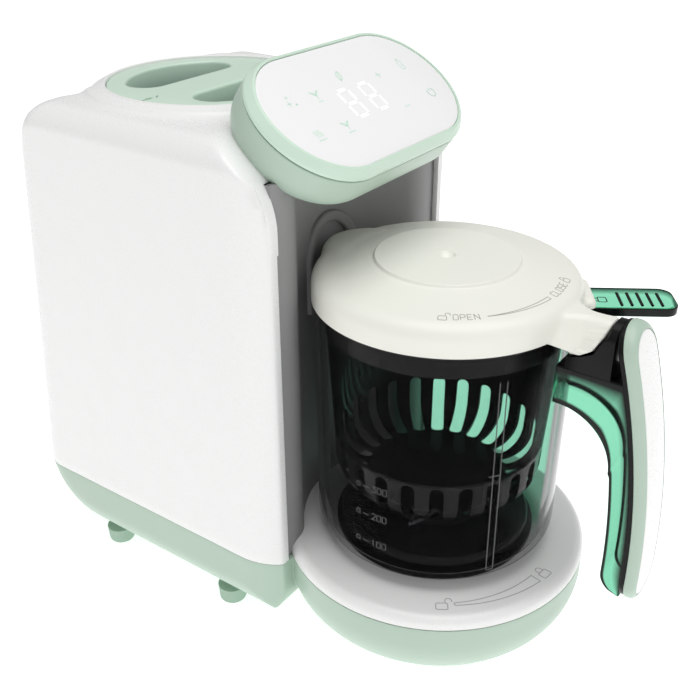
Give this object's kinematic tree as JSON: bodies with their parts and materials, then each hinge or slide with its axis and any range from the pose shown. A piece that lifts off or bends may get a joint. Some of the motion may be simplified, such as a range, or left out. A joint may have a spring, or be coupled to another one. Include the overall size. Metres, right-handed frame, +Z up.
{
  "type": "baby food steamer blender",
  "caption": "Countertop baby food maker that steams and blends: tall column with water tank and tilted touch head, round base, see-through jug with blade, basket, handle and lid.",
  "frame": {"origin": "middle of the footprint's box, on the table under the feet", "axes": "+X to the right when facing the touch panel from the front, +Y to the back, +Z up"},
  "size_m": [0.15, 0.3215, 0.2758],
  "materials": {
    "mint_shell": "satin mint",
    "pale_mint": "satin pale mint",
    "white_shell": "satin white",
    "cream_lid": "satin cream",
    "grey_panel": "fine matt grey",
    "panel_white": "touch panel, glossy",
    "black_plastic": "polished black",
    "smoke_clear": "clear, faint smoke",
    "smoke_dark": "dark smoke, see-through",
    "tank_clear": "milky translucent",
    "rubber_dark": "matt",
    "mint_rubber": "matt mint",
    "steel": "brushed",
    "bronze": "turned",
    "board_green": "solder mask"
  },
  "bodies": {
    "base": {"base_tray": "mint_shell", "base_deck": "white_shell", "rubber_feet": "mint_rubber", "tray_screws": "steel", "body_shell": "white_shell", "front_panel": "grey_panel", "steam_outlet": "grey_panel", "outlet_gasket": "rubber_dark", "head_shell": "mint_shell", "head_bezel": "pale_mint", "control_panel": "panel_white", "display_module": "black_plastic", "control_board": "board_green", "tank_filler": "white_shell", "water_tank": "tank_clear", "feed_tube": "rubber_dark", "boiler": "steel", "boiler_bracket": "steel", "steam_tube": "steel", "power_board": "board_green", "cord_gland": "rubber_dark", "motor_can": "steel", "motor_plate": "steel", "drive_belt": "rubber_dark", "lower_bearing": "steel", "upper_bearing": "steel"},
    "drive": {"drive_shaft": "steel", "drive_pulley": "grey_panel", "drive_coupling": "black_plastic"},
    "rotor": {"motor_shaft": "steel", "motor_pulley": "grey_panel"},
    "jug_seat": {"jug_foot": "black_plastic"},
    "jug_unit": {"jug": "smoke_clear", "handle_core": "smoke_dark", "handle_cover": "mint_shell", "handle_inlay": "white_shell", "blade_base": "black_plastic", "blade_bush": "bronze", "blade_seal": "rubber_dark", "basket": "smoke_dark"},
    "blade_unit": {"blade_shaft": "steel", "blade_hub": "black_plastic", "blades": "steel", "blade_dog": "black_plastic"},
    "lid": {"lid_cover": "cream_lid", "lid_seal": "rubber_dark", "lid_grommet": "rubber_dark"},
    "cap_lock": {"cap_lock_ring": "rubber_dark"},
    "cap": {"tank_cap": "pale_mint"}
  },
  "joints": [
    {"name": "drive_spin", "type": "hinge", "parent": "base", "child": "drive", "pos_m": [0, -0.05325, 0.03], "axis": [0, 0, 1], "continuous": true},
    {"name": "motor_spin", "type": "hinge", "parent": "base", "child": "rotor", "pos_m": [0, 0.05075, 0.03], "axis": [0, 0, 1], "continuous": true},
    {"name": "jug_turn", "type": "hinge", "parent": "base", "child": "jug_seat", "pos_m": [0, -0.05325, 0.0553], "axis": [0, 0, 1], "range_deg": [-49, 0]},
    {"name": "jug_lift", "type": "slide", "parent": "jug_seat", "child": "jug_unit", "axis": [0, 0, 1], "range_m": [0, 0.014]},
    {"name": "blade_spin", "type": "hinge", "parent": "jug_unit", "child": "blade_unit", "pos_m": [0, -0.05325, 0.07], "axis": [0, 0, 1], "continuous": true},
    {"name": "lid_turn", "type": "hinge", "parent": "jug_unit", "child": "lid", "pos_m": [0, -0.05325, 0.18], "axis": [0, 0, 1], "range_deg": [-40, 0]},
    {"name": "cap_turn", "type": "hinge", "parent": "base", "child": "cap_lock", "pos_m": [0, 0.07825, 0.245], "axis": [0, 0, 1], "range_deg": [0, 45]},
    {"name": "cap_lift", "type": "slide", "parent": "cap_lock", "child": "cap", "axis": [0, 0, 1], "range_m": [0, 0.06]}
  ],
  "couplings": [
    {"joint": "motor_spin", "follows": "drive_spin", "ratio": 3},
    {"joint": "blade_spin", "follows": "drive_spin", "ratio": 1}
  ]
}
